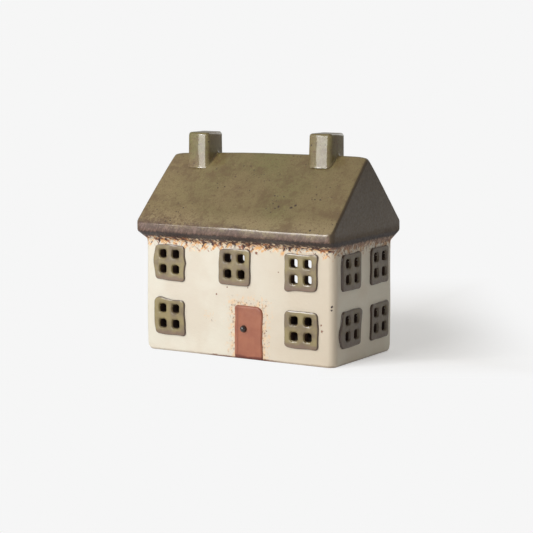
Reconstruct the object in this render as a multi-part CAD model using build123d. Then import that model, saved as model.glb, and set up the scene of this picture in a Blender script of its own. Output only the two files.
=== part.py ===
from build123d import *
import math
import os

# Tealight house of glazed stoneware: X runs along the front, Y goes back, Z is up from the table.
# All sizes are in millimetres, and the origin is under the middle of the house.

# Walls and floor
wall_width = 126.7
wall_depth = 69.9
wall_height = 63.8
wall_thickness = 4.5
corner_radius = 4.0
foot_radius = 1.8
floor_thickness = 5.0

# Roof: a cove and a sloping soffit under a rounded lip, then two slopes up to the ridge
ridge_height = 116.2
roof_thickness = 5.0
eave_overhang = 7.0
gable_overhang = 2.1
cove_height = 1.4
soffit_rise = 5.2
lip_height = 4.6
cove_radius = 2.6
lip_radius = 1.9
ridge_radius = 2.4

# Chimneys: square stacks that stand astride the ridge
chimney_width = 14.2
chimney_depth = 17.5
chimney_corner_radius = 2.2
chimney_rim_radius = 1.8
left_chimney_height = 10.4
right_chimney_height = 11.7
left_chimney_setback = -0.8
right_chimney_setback = 0.7
left_chimney_share = -0.339
right_chimney_share = 0.300

# Windows: four panes in a raised frame, set out as shares of the wall that carries them
window_width = 21.0
window_height = 20.9
window_thickness = 1.2
window_corner_radius = 2.6
window_edge_radius = 0.5
window_drop = 0.6
pane_width = 5.0
pane_height = 5.2
pane_corner_radius = 1.4
pane_row_pitch = 9.0
front_pane_pitch = 8.9
side_pane_pitch = 9.7
upper_row_share = 0.828
lower_row_share = 0.324
front_left_share = -0.361
front_middle_share = -0.010
front_right_share = 0.336
rear_column_share = 0.33
side_front_share = -0.229
side_rear_share = 0.249

# Door and its knob
door_width = 18.7
door_height = 30.8
door_thickness = 1.0
door_corner_radius = 2.6
door_edge_radius = 0.4
door_share = 0.064
knob_diameter = 4.2
knob_height = 2.3
knob_inset = 6.1
knob_rise = 17.3
knob_rim_radius = 1.5
stem_diameter = 1.6
stem_length = 0.8

# Arch in the rear wall, through which the tealight goes in
arch_width = 50.0
arch_sill = 15.0
arch_lintel = 5.0
arch_corner_radius = 4.0
arch_edge_radius = 1.0

# Tealight: a wick on a steel tab, in wax, in a thin cup
cup_diameter = 38.0
cup_height = 15.0
cup_wall = 0.4
cup_front_gap = 1.5
wax_depth = 12.0
tab_diameter = 13.0
tab_thickness = 0.5
collar_diameter = 3.4
collar_height = 3.0
wick_diameter = 1.6
wick_showing = 5.5

# Working values: how far a cut runs past a face, and how near a picked edge lies
overrun = 5.0
pick = 0.01

# Places worked out from the sizes above
inner_x = wall_width / 2 - wall_thickness
inner_y = wall_depth / 2 - wall_thickness
roof_length = wall_width + 2 * gable_overhang
roof_depth = wall_depth + 2 * eave_overhang
soffit_start = wall_height + cove_height
lip_bottom = soffit_start + soffit_rise
lip_top = lip_bottom + lip_height
roof_pitch = math.atan2(ridge_height - lip_top, roof_depth / 2)
inner_ridge = ridge_height - roof_thickness / math.cos(roof_pitch)
inner_eave = inner_ridge - inner_y * math.tan(roof_pitch)
arch_crown = wall_height - arch_lintel
arch_spring = arch_crown - arch_width / 2
door_x = door_share * wall_width
knob_x = door_x - door_width / 2 + knob_inset
cup_y = cup_front_gap + cup_diameter / 2 - inner_y

# Outer faces of the four walls, each with x to the right as seen from outside and z outwards
front_face = Plane(origin=(0, -wall_depth / 2, 0), x_dir=(1, 0, 0), z_dir=(0, -1, 0))
rear_face = Plane(origin=(0, wall_depth / 2, 0), x_dir=(-1, 0, 0), z_dir=(0, 1, 0))
right_face = Plane(origin=(wall_width / 2, 0, 0), x_dir=(0, 1, 0), z_dir=(1, 0, 0))
left_face = Plane(origin=(-wall_width / 2, 0, 0), x_dir=(0, -1, 0), z_dir=(-1, 0, 0))


def block(x_span, y_span, z_span):
    """A box between two values on each axis."""
    spans = (x_span, y_span, z_span)
    sizes = [high - low for low, high in spans]
    corner = [low for low, high in spans]
    return Pos(*corner) * Box(*sizes, align=(Align.MIN, Align.MIN, Align.MIN))


def upright(diameter, height):
    """A round post that stands on the XY plane."""
    return Cylinder(diameter / 2, height, align=(Align.CENTER, Align.CENTER, Align.MIN))


def edges_at(solid, height):
    """The level edges of a solid at one height."""
    return solid.edges().filter_by_position(Axis.Z, height - pick, height + pick)


def along_house(points, length):
    """A section drawn in Y and Z, run along X for a length about the middle."""
    return extrude(Plane.YZ * make_face(Polyline(points, close=True)), length / 2, both=True)


def house_mass():
    """The whole house as a block: walls, cove, soffit, lip and roof, with all its rounded edges."""
    wall_outline = RectangleRounded(wall_width, wall_depth, corner_radius)
    roof_outline = RectangleRounded(roof_length, roof_depth, corner_radius)
    walls = extrude(wall_outline, soffit_start)
    soffit = loft([Pos(0, 0, soffit_start) * wall_outline, Pos(0, 0, lip_bottom) * roof_outline], ruled=True)
    half = roof_depth / 2
    section = [(-half, lip_bottom), (-half, lip_top), (0, ridge_height), (half, lip_top), (half, lip_bottom)]
    roof = along_house(section, roof_length)
    roof &= Pos(0, 0, lip_bottom) * extrude(roof_outline, ridge_height)
    roof = fillet(edges_at(roof, ridge_height), ridge_radius)
    roof = fillet(roof.edges().filter_by_position(Axis.Z, lip_top - lip_height / 2, ridge_height), lip_radius)
    mass = walls + soffit + roof
    mass = fillet(edges_at(mass, lip_bottom), lip_radius)
    mass = fillet(edges_at(mass, soffit_start), cove_radius)
    return fillet(edges_at(mass, 0), foot_radius)


def slab(mass, x_span, y_span, z_span):
    """The stretch of the house block that lies inside a box."""
    return mass & block(x_span, y_span, z_span)


def panes(pane_pitch):
    """The outline of one window's four panes."""
    pane = RectangleRounded(pane_width, pane_height, pane_corner_radius)
    return Sketch() + [place * pane for place in GridLocations(pane_pitch, pane_row_pitch, 2, 2)]


def window_frame(pane_pitch):
    """A raised frame with rounded edges round four panes, lying on the XY plane."""
    outline = Pos(0, -window_drop) * RectangleRounded(window_width, window_height, window_corner_radius)
    frame = extrude(outline - panes(pane_pitch), window_thickness)
    return fillet(edges_at(frame, window_thickness), window_edge_radius)


def pane_holes(pane_pitch):
    """Four straight holes through a wall, from just outside its face."""
    return Pos(0, 0, overrun) * extrude(panes(pane_pitch), -wall_thickness - 2 * overrun)


def arch_cutter():
    """The arch's opening, as a straight cut through the rear wall."""
    half = arch_width / 2
    jambs = Polyline((-half, arch_spring), (-half, arch_sill), (half, arch_sill), (half, arch_spring))
    outline = make_face([jambs, ThreePointArc((half, arch_spring), (0, arch_crown), (-half, arch_spring))])
    outline = fillet(outline.vertices().group_by(Axis.Y)[0], arch_corner_radius)
    return rear_face * Pos(0, 0, overrun) * extrude(outline, -wall_thickness - 2 * overrun)


def arched(wall):
    """A rear wall with the arch cut through it, and the arch's outer rim rounded."""
    wall -= arch_cutter()
    rim = wall.edges().filter_by_position(Axis.Y, wall_depth / 2 - pick, wall_depth / 2 + pick)
    rim = rim.filter_by_position(Axis.X, -arch_width / 2 - pick, arch_width / 2 + pick)
    rim = rim.filter_by_position(Axis.Z, arch_sill - pick, arch_crown + pick)
    return fillet(rim, arch_edge_radius)


def chimney(mass, share, setback, height):
    """A stack with softened edges, its foot cut to sit on both slopes."""
    foot = inner_ridge - chimney_depth
    top = ridge_height + height
    outline = RectangleRounded(chimney_width, chimney_depth, chimney_corner_radius)
    stack = extrude(outline, top - foot)
    stack = fillet(edges_at(stack, top - foot), chimney_rim_radius)
    return Pos(share * wall_width, setback, foot) * stack - mass


def door_panel():
    """A plate with two rounded top corners on the front wall, bored for its knob."""
    bottom = foot_radius
    outline = Pos(door_x, (bottom + door_height) / 2) * Rectangle(door_width, door_height - bottom)
    outline = fillet(outline.vertices().group_by(Axis.Y)[-1], door_corner_radius)
    panel = extrude(outline, door_thickness)
    panel = fillet(edges_at(panel, door_thickness), door_edge_radius)
    socket = Pos(knob_x, knob_rise, door_thickness - stem_length) * upright(stem_diameter, stem_length + overrun)
    return front_face * (panel - socket)


def knob():
    """A domed bead on the door, with a stem in the door's socket."""
    bead = upright(knob_diameter, knob_height)
    bead = fillet(edges_at(bead, knob_height), knob_rim_radius)
    stem = Pos(0, 0, -stem_length) * upright(stem_diameter, stem_length)
    return front_face * Pos(knob_x, knob_rise, door_thickness) * (bead + stem)


def tealight():
    """The candle's four pieces, standing on the floor behind the front wall."""
    bore = cup_diameter - 2 * cup_wall
    cup = upright(cup_diameter, cup_height) - Pos(0, 0, cup_wall) * upright(bore, cup_height)
    wick_length = wax_depth + wick_showing - tab_thickness
    wick = Pos(0, 0, cup_wall + tab_thickness) * upright(wick_diameter, wick_length)
    tab = upright(tab_diameter, tab_thickness) + upright(collar_diameter, collar_height)
    tab = Pos(0, 0, cup_wall) * tab - wick
    wax = Pos(0, 0, cup_wall) * upright(bore, wax_depth) - tab - wick
    pieces = {"tealight_cup": cup, "tealight_wax": wax, "tealight_wick": wick, "wick_tab": tab}
    return {name: Pos(0, cup_y, floor_thickness) * piece for name, piece in pieces.items()}


def roof_pieces(mass):
    """The roof as two slopes that meet at the ridge, and a gable between them at each end."""
    void_points = [(-inner_y, wall_height), (-inner_y, inner_eave), (0, inner_ridge),
                   (inner_y, inner_eave), (inner_y, wall_height)]
    void = along_house(void_points, roof_length + 2 * overrun)
    full_x = (-roof_length, roof_length)
    full_y = (-roof_depth, roof_depth)
    tall = (wall_height, ridge_height + overrun)
    return {
        "roof_front_slope": slab(mass, full_x, (-roof_depth, 0), tall) - void,
        "roof_rear_slope": slab(mass, full_x, (0, roof_depth), tall) - void,
        "left_gable": slab(mass, (-roof_length, -inner_x), full_y, tall) & void,
        "right_gable": slab(mass, (inner_x, roof_length), full_y, tall) & void,
    }


def window_places():
    """Each window's name, wall, place on that wall and pane pitch."""
    rows = {"upper": upper_row_share * wall_height, "lower": lower_row_share * wall_height}
    places = []
    front = {"left": front_left_share, "middle": front_middle_share, "right": front_right_share}
    for row, height in rows.items():
        for column, share in front.items():
            if (row, column) != ("lower", "middle"):
                places.append((f"front_window_{row}_{column}", "front", share * wall_width, height, front_pane_pitch))
        for column, side in (("left", 1), ("right", -1)):
            places.append((f"rear_window_{row}_{column}", "rear", side * rear_column_share * wall_width, height,
                           front_pane_pitch))
        for column, share in (("front", side_front_share), ("rear", side_rear_share)):
            along = share * wall_depth
            places.append((f"right_window_{row}_{column}", "right", along, height, side_pane_pitch))
            places.append((f"left_window_{row}_{column}", "left", -along, height, side_pane_pitch))
    return places


def house():
    """Every piece of the house and its candle, by name."""
    mass = house_mass()
    full_x = (-wall_width, wall_width)
    between = (-inner_y, inner_y)
    tall = (0, wall_height)
    walls = {
        "front": slab(mass, full_x, (-wall_depth, -inner_y), tall),
        "rear": arched(slab(mass, full_x, (inner_y, wall_depth), tall)),
        "left": slab(mass, (-wall_width, -inner_x), between, tall),
        "right": slab(mass, (inner_x, wall_width), between, tall),
    }
    faces = {"front": front_face, "rear": rear_face, "left": left_face, "right": right_face}
    windows = {}
    for name, wall, along, height, pane_pitch in window_places():
        place = faces[wall] * Pos(along, height)
        windows[name] = place * window_frame(pane_pitch)
        walls[wall] -= place * pane_holes(pane_pitch)
    pieces = {f"{wall}_wall": solid for wall, solid in walls.items()}
    pieces["base_slab"] = block((-inner_x, inner_x), between, (0, floor_thickness))
    pieces["left_chimney"] = chimney(mass, left_chimney_share, left_chimney_setback, left_chimney_height)
    pieces["right_chimney"] = chimney(mass, right_chimney_share, right_chimney_setback, right_chimney_height)
    pieces["door"] = door_panel()
    pieces["door_knob"] = knob()
    return pieces | roof_pieces(mass) | windows | tealight()


os.makedirs("parts", exist_ok=True)
for node, solid in house().items():
    export_step(solid, f"parts/{node}.step")
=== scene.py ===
import logging
import math
from dataclasses import dataclass, field
from enum import Enum
from functools import lru_cache
from typing import Iterator, Sequence

import bmesh
import bpy
from mathutils import Matrix, Vector, noise


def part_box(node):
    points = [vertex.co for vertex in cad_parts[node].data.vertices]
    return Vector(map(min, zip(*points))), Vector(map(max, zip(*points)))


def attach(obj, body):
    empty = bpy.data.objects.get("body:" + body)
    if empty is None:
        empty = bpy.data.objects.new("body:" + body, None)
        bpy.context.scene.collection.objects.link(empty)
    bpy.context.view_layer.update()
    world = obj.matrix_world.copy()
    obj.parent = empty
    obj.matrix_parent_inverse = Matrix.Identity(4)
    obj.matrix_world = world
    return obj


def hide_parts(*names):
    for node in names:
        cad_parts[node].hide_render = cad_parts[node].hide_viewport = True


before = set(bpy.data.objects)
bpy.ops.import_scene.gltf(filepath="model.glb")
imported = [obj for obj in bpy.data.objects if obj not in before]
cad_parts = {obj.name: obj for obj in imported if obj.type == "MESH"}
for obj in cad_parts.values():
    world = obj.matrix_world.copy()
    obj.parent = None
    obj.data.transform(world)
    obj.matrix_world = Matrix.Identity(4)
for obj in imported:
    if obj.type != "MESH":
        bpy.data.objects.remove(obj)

# Short names for types that many signatures use
Socket = bpy.types.NodeSocket
Material = bpy.types.Material
BMesh = bmesh.types.BMesh

LOG = logging.getLogger("tealight_house")
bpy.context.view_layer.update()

# One millimetre in scene units, which are metres
MM = 0.001
# Vertices nearer than this are one vertex
WELD = 1e-6
# Seed of the clay's unevenness, so that every run gives the same house
CLAY_SEED = 5


@lru_cache(maxsize=None)
def box_of(node: str) -> tuple[Vector, Vector]:
    """Give a CAD node's lower and upper corners, measured once."""
    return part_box(node)


class Body(Enum):
    """The two bodies that pieces ride on."""

    HOUSE = "house"
    TEALIGHT = "tealight"


class Slot(Enum):
    """The record's material slots."""

    CREAM = "cream_glaze"
    ROOF = "roof_glaze"
    WINDOW = "window_glaze"
    DOOR = "door_slip"
    KNOB = "knob_glaze"
    CLAY = "bare_clay"
    CUP = "candle_cup"
    WAX = "candle_wax"
    WICK = "candle_wick"
    TAB = "wick_tab"


class Side(Enum):
    """A wall of the house, named by someone who faces the door."""

    FRONT = "front"
    REAR = "rear"
    LEFT = "left"
    RIGHT = "right"

    @property
    def outward(self) -> Vector:
        """The way that the wall's outer face looks."""
        ways = {Side.FRONT: (0, -1, 0), Side.REAR: (0, 1, 0), Side.LEFT: (-1, 0, 0), Side.RIGHT: (1, 0, 0)}
        return Vector(ways[self])

    def placing(self, centre: Vector) -> Matrix:
        """Turn a piece drawn flat, x to the right and z outwards, onto this wall.

        Args:
            centre: the point of the wall's outer face that the drawing's origin goes to.

        Returns:
            The matrix that places the drawing.
        """
        up = Vector((0, 0, 1))
        right = up.cross(self.outward)
        turn = Matrix((right, up, self.outward)).transposed().to_4x4()
        return Matrix.Translation(centre) @ turn


def srgb(red: int, green: int, blue: int) -> tuple[float, float, float, float]:
    """Turn a colour as a screen shows it, 0 to 255, into the linear colour that a shader takes.

    Args:
        red: the red share.
        green: the green share.
        blue: the blue share.

    Returns:
        The linear colour, with an alpha of 1.
    """
    shares = [value / 255 for value in (red, green, blue)]
    linear = [c / 12.92 if c <= 0.04045 else ((c + 0.055) / 1.055) ** 2.4 for c in shares]
    return (*linear, 1.0)


class GlazeBench:
    """A material's node tree, with a short method for each kind of node that the finishes share.

    Places are read from Object coordinates and are in millimetres from the origin of the house.
    """

    def __init__(self, name: str) -> None:
        """Start a material with an empty principled shader.

        Args:
            name: the material's name.
        """
        self.material = bpy.data.materials.new(name)
        self.material.use_nodes = True
        self.tree = self.material.node_tree
        self.shader = self.tree.nodes["Principled BSDF"]
        self.place = self.stretched((1.0, 1.0, 1.0))
        split = self.add("ShaderNodeSeparateXYZ")
        self.link(self.place, split.inputs[0])
        self.x, self.y, self.z = split.outputs[:3]

    def add(self, kind: str) -> bpy.types.ShaderNode:
        """Add a node of one kind."""
        return self.tree.nodes.new(kind)

    def link(self, source: Socket, target: Socket) -> None:
        """Join an output to an input."""
        self.tree.links.new(source, target)

    def feed(self, target: Socket, value: object) -> None:
        """Set an input to a plain value, or join it to an output.

        Args:
            target: the input.
            value: a number, a colour or an output socket.
        """
        if isinstance(value, Socket):
            self.link(value, target)
        else:
            target.default_value = value

    def stretched(self, per_mm: tuple[float, float, float],
                  turn: tuple[float, float, float] = (0.0, 0.0, 0.0)) -> Socket:
        """Give the place on the piece, in millimetres times a stretch on each of its turned axes.

        Args:
            per_mm: the stretch on X, Y and Z.
            turn: how far the axes are turned first, in radians.

        Returns:
            The vector's socket.
        """
        coordinates = self.add("ShaderNodeTexCoord")
        mapping = self.add("ShaderNodeMapping")
        mapping.vector_type = "TEXTURE"
        mapping.inputs["Scale"].default_value = [MM / share for share in per_mm]
        mapping.inputs["Rotation"].default_value = turn
        self.link(coordinates.outputs["Object"], mapping.inputs["Vector"])
        return mapping.outputs["Vector"]

    def cloud(self, scale: float, detail: float = 3.0, roughness: float = 0.55,
              vector: Socket | None = None, distortion: float = 0.0) -> Socket:
        """Soft random variation, from 0 to 1 about a half.

        Args:
            scale: features per millimetre.
            detail: how many finer layers are added.
            roughness: how strong the finer layers are.
            vector: the place to read, or None for the plain place.
            distortion: how far the pattern swirls.

        Returns:
            The value's socket.
        """
        texture = self.add("ShaderNodeTexNoise")
        self.link(vector or self.place, texture.inputs["Vector"])
        texture.inputs["Scale"].default_value = scale
        texture.inputs["Detail"].default_value = detail
        texture.inputs["Roughness"].default_value = roughness
        texture.inputs["Distortion"].default_value = distortion
        return texture.outputs[0]

    def specks(self, scale: float, radius: float, share: float,
               vector: Socket | None = None) -> Socket:
        """Scattered round specks, 1 on a speck and 0 off it.

        Args:
            scale: cells per millimetre, each of which may hold one speck.
            radius: a speck's radius as a share of its cell.
            share: the share of cells that hold one.
            vector: the place to read, or None for the plain place.

        Returns:
            The mask's socket.
        """
        texture = self.add("ShaderNodeTexVoronoi")
        self.link(vector or self.place, texture.inputs["Vector"])
        texture.inputs["Scale"].default_value = scale
        chance = self.add("ShaderNodeSeparateColor")
        self.link(texture.outputs["Color"], chance.inputs[0])
        reach = self.times(chance.outputs[1], radius)
        dot = self.ramp(self.minus(reach, texture.outputs["Distance"]), 0.0, radius * 0.35)
        kept = self.maths("LESS_THAN", chance.outputs[0], share)
        return self.times(dot, kept)

    def spot(self, centre: Sequence[float], radius: float) -> Socket:
        """One ragged speck at a place.

        Args:
            centre: the speck's middle, in millimetres.
            radius: its radius, in millimetres.

        Returns:
            The mask's socket.
        """
        ragged = self.times(self.cloud(1.1, 3, 0.7), 2.4 * radius)
        return self.ramp(self.plus(self.distance(centre), ragged), 2.3 * radius, 1.6 * radius)

    def distance(self, centre: Sequence[float]) -> Socket:
        """Measure how far the surface lies from a point.

        Args:
            centre: the point, in millimetres.

        Returns:
            The socket of the distance, in millimetres.
        """
        node = self.add("ShaderNodeVectorMath")
        node.operation = "DISTANCE"
        self.link(self.place, node.inputs[0])
        node.inputs[1].default_value = centre
        return node.outputs["Value"]

    def maths(self, operation: str, first: object, second: object = 0.0) -> Socket:
        """One sum on one or two values.

        Args:
            operation: the sum's name.
            first: the first value or socket.
            second: the second value or socket.

        Returns:
            The result's socket.
        """
        node = self.add("ShaderNodeMath")
        node.operation = operation
        self.feed(node.inputs[0], first)
        self.feed(node.inputs[1], second)
        return node.outputs[0]

    def times(self, first: object, second: object) -> Socket:
        """Multiply two values."""
        return self.maths("MULTIPLY", first, second)

    def plus(self, first: object, second: object) -> Socket:
        """Add two values."""
        return self.maths("ADD", first, second)

    def minus(self, first: object, second: object) -> Socket:
        """Take the second value from the first."""
        return self.maths("SUBTRACT", first, second)

    def ramp(self, value: Socket, low: float, high: float) -> Socket:
        """Rise smoothly from 0 at low to 1 at high.

        Args:
            value: the value to read.
            low: where the rise starts.
            high: where it ends.

        Returns:
            The result's socket.
        """
        node = self.add("ShaderNodeMapRange")
        node.interpolation_type = "SMOOTHSTEP"
        self.link(value, node.inputs["Value"])
        if low <= high:
            node.inputs["From Min"].default_value = low
            node.inputs["From Max"].default_value = high
        else:
            node.inputs["From Min"].default_value = high
            node.inputs["From Max"].default_value = low
            node.inputs["To Min"].default_value = 1.0
            node.inputs["To Max"].default_value = 0.0
        return node.outputs["Result"]

    def blend(self, share: object, under: object, over: object) -> Socket:
        """Lay one colour over another.

        Args:
            share: how much of the upper colour shows.
            under: the lower colour.
            over: the upper colour.

        Returns:
            The colour's socket.
        """
        node = self.add("ShaderNodeMix")
        node.data_type = "RGBA"
        self.feed(node.inputs[0], share)
        self.feed(node.inputs[6], under)
        self.feed(node.inputs[7], over)
        return node.outputs[2]

    def attribute(self, name: str) -> Socket:
        """Read a number that the piece's mesh holds for each vertex.

        Args:
            name: the number's name in the mesh.

        Returns:
            The value's socket.
        """
        node = self.add("ShaderNodeAttribute")
        node.attribute_name = name
        return node.outputs["Fac"]

    def relief(self, height: Socket, depth_mm: float) -> None:
        """Raise the surface's fine relief.

        Args:
            height: the relief, from 0 to 1.
            depth_mm: the depth from 0 to 1, in millimetres.
        """
        node = self.add("ShaderNodeBump")
        node.inputs["Distance"].default_value = depth_mm * MM
        self.link(height, node.inputs["Height"])
        self.link(node.outputs["Normal"], self.shader.inputs["Normal"])

    def finish(self, colour: object, roughness: object, coat: object = 0.0, coat_roughness: float = 0.1,
               **plain: object) -> Material:
        """Feed the shader.

        Args:
            colour: the base colour or its socket.
            roughness: the roughness or its socket.
            coat: how much clear gloss lies over the colour, or its socket.
            coat_roughness: how blurred that gloss is.
            plain: other shader inputs, by name with underscores for spaces.

        Returns:
            The finished material.
        """
        self.feed(self.shader.inputs["Base Color"], colour)
        self.feed(self.shader.inputs["Roughness"], roughness)
        self.feed(self.shader.inputs["Coat Weight"], coat)
        self.shader.inputs["Coat Roughness"].default_value = coat_roughness
        for name, value in plain.items():
            self.shader.inputs[name.replace("_", " ")].default_value = value
        return self.material


@dataclass(frozen=True)
class ScorchLayer:
    """One colour of the strokes under the eaves, how they lean and how they gather towards the eaves."""

    tint: tuple
    scale: float
    lean: float
    climb: float
    gain: float
    start: float
    slimness: float = 0.38


@dataclass(frozen=True)
class CreamGlaze:
    """Satin cream glaze on the walls, flecked and scorched under the eaves and round the door, with painted
    shade towards the front wall's right end and on the side walls' strokes.
    """

    cream: tuple = srgb(220, 214, 199)
    warm: tuple = srgb(214, 204, 187)
    # Painted shade: the darker tint that the front wall takes towards its right end
    front_shade: tuple = srgb(206, 192, 171)
    peach: tuple = srgb(228, 196, 156)
    # Painted shade: the dull tint that the strokes take on the shaded side walls
    shaded_strokes: tuple = srgb(150, 122, 106)
    rust: tuple = srgb(122, 72, 46)
    char: tuple = srgb(58, 42, 40)
    scorch_low_mm: float = 58.8
    scorch_high_mm: float = 67.5
    scorch_drift_mm: float = 5.0
    layers: tuple = (ScorchLayer(srgb(222, 172, 114), 0.45, 0.8, 1.2, 0.20, 0.60),
                     ScorchLayer(srgb(160, 98, 62), 0.52, -0.7, 1.6, 0.22, 0.63),
                     ScorchLayer(srgb(74, 47, 47), 0.52, 0.6, 2.1, 0.27, 0.65),
                     ScorchLayer(srgb(238, 214, 178), 0.6, -0.9, 1.0, 0.12, 0.64))
    corner_dots_mm: tuple = ((61.5, -34.3, 34.6, 0.75), (61.3, -34.4, 32.6, 0.7))
    marks_mm: tuple = ((13.2, -35.0, 61.5, 0.9), (27.5, -35.0, 51.5, 0.45), (-13.6, -35.0, 36.1, 0.6),
                       (-6.3, -35.0, 40.7, 0.6), (7.5, -35.0, 41.3, 0.5), (55.7, -35.0, 20.4, 0.9),
                       (55.1, -35.0, 23.9, 0.6))
    smudge_mm: tuple = (-18.0, -35.0, 23.0)
    smudge_radius_mm: float = 9.0
    door_halo_mm: float = 10.0
    front_shade_start_mm: float = -25.0
    front_shade_end_mm: float = 66.0
    front_shade_back_mm: float = -29.0
    front_shade_front_mm: float = -33.0
    end_low_mm: float = 60.5
    end_high_mm: float = 62.5
    door_foot_mm: tuple = (3.0, -35.0, 0.0)
    foot_near_mm: float = 12.0
    foot_far_mm: float = 30.0

    def material(self) -> Material:
        """Mix the glaze.

        Returns:
            The finished material.
        """
        bench = GlazeBench("cream_glaze")
        mottle = bench.ramp(bench.cloud(0.045, 4), 0.35, 0.68)
        colour = bench.blend(mottle, self.cream, self.warm)
        # Painted shade: the front wall darkens towards its right end, where less light falls
        rightward = bench.ramp(bench.x, self.front_shade_start_mm, self.front_shade_end_mm)
        front = bench.ramp(bench.y, self.front_shade_back_mm, self.front_shade_front_mm)
        front_shade = bench.times(bench.times(rightward, front), 0.85)
        colour = bench.blend(front_shade, colour, self.front_shade)
        colour = self.flecks(bench, colour)
        colour = bench.blend(bench.specks(0.11, 0.09, 0.3), colour, self.rust)
        colour = self.scorch(bench, colour)
        for spots, tint in ((self.corner_dots_mm, self.char), (self.marks_mm, self.rust)):
            for *place, radius in spots:
                colour = bench.blend(bench.spot(place, radius), colour, tint)
        foot = bench.plus(bench.z, bench.times(bench.cloud(0.35, 4), -2.2))
        door = bench.ramp(bench.distance(self.door_foot_mm), self.foot_far_mm, self.foot_near_mm)
        burnt = bench.plus(bench.times(door, 0.75), 0.25)
        colour = bench.blend(bench.times(bench.ramp(foot, 0.4, -0.5), burnt), colour, self.rust)
        grain = bench.cloud(0.9, 3)
        bench.relief(bench.plus(grain, bench.times(bench.cloud(0.16, 2), 2.0)), 0.09)
        return bench.finish(colour, bench.ramp(grain, -0.6, 1.6), coat=0.15, coat_roughness=0.3)

    def scorch(self, bench: GlazeBench, colour: Socket) -> Socket:
        """Lay ragged ochre, rust and charred streaks under the eaves, with painted shade that dulls them on
        the side walls.

        Args:
            bench: the material's node tree.
            colour: the colour that they lie over.

        Returns:
            The colour's socket.
        """
        drift = bench.times(bench.minus(bench.cloud(0.06, 2), 0.5), self.scorch_drift_mm)
        height = bench.minus(bench.plus(bench.z, drift), self.scorch_low_mm)
        rise = bench.maths("DIVIDE", height, self.scorch_high_mm - self.scorch_low_mm)
        rise = bench.maths("MAXIMUM", rise, 0.0)
        limit = bench.ramp(rise, 0.0, 0.35)
        # Painted shade: on the side walls the strokes turn to a dull, darker tint
        ends = bench.ramp(bench.maths("ABSOLUTE", bench.x), self.end_low_mm, self.end_high_mm)
        ends = bench.times(ends, 0.6)
        for layer in self.layers:
            strokes = bench.stretched((1.0, 1.0, layer.slimness), (0.0, layer.lean, 0.0))
            hairs = bench.cloud(layer.scale, 3, 0.62, strokes)
            climb = bench.times(bench.maths("POWER", rise, layer.climb), layer.gain)
            heat = bench.plus(hairs, climb)
            share = bench.times(bench.ramp(heat, layer.start, layer.start + 0.09), limit)
            colour = bench.blend(share, colour, bench.blend(ends, layer.tint, self.shaded_strokes))
        return colour

    def flecks(self, bench: GlazeBench, colour: Socket) -> Socket:
        """Scatter ochre and brown flecks that gather round the door and in a smudge beside it.

        Args:
            bench: the material's node tree.
            colour: the colour that they lie over.

        Returns:
            The colour's socket.
        """
        low, high = box_of("door")
        middle = (low.x + high.x) / 2 / MM
        half = (high.x - low.x) / 2 / MM
        beside = bench.minus(bench.maths("ABSOLUTE", bench.minus(bench.x, middle)), half)
        above = bench.minus(bench.z, high.z / MM)
        near = bench.ramp(bench.maths("MAXIMUM", beside, above), self.door_halo_mm, 0.0)
        smudge = bench.ramp(bench.distance(self.smudge_mm), self.smudge_radius_mm, 0.0)
        near = bench.maths("MAXIMUM", near, bench.times(smudge, 0.6))
        near = bench.times(near, bench.ramp(bench.y, low.y / MM + 3, low.y / MM + 2))
        shaped = bench.stretched((1.0, 1.0, 0.8))
        for scale, gain, start, tint in ((0.4, 0.2, 0.62, self.peach), (0.75, 0.2, 0.7, self.rust)):
            hot = bench.plus(bench.cloud(scale, 5, 0.72, shaped), bench.times(near, gain))
            share = bench.times(bench.ramp(hot, start, start + 0.16), bench.ramp(near, 0.0, 0.2))
            colour = bench.blend(bench.times(share, 0.85), colour, tint)
        return colour


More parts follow.
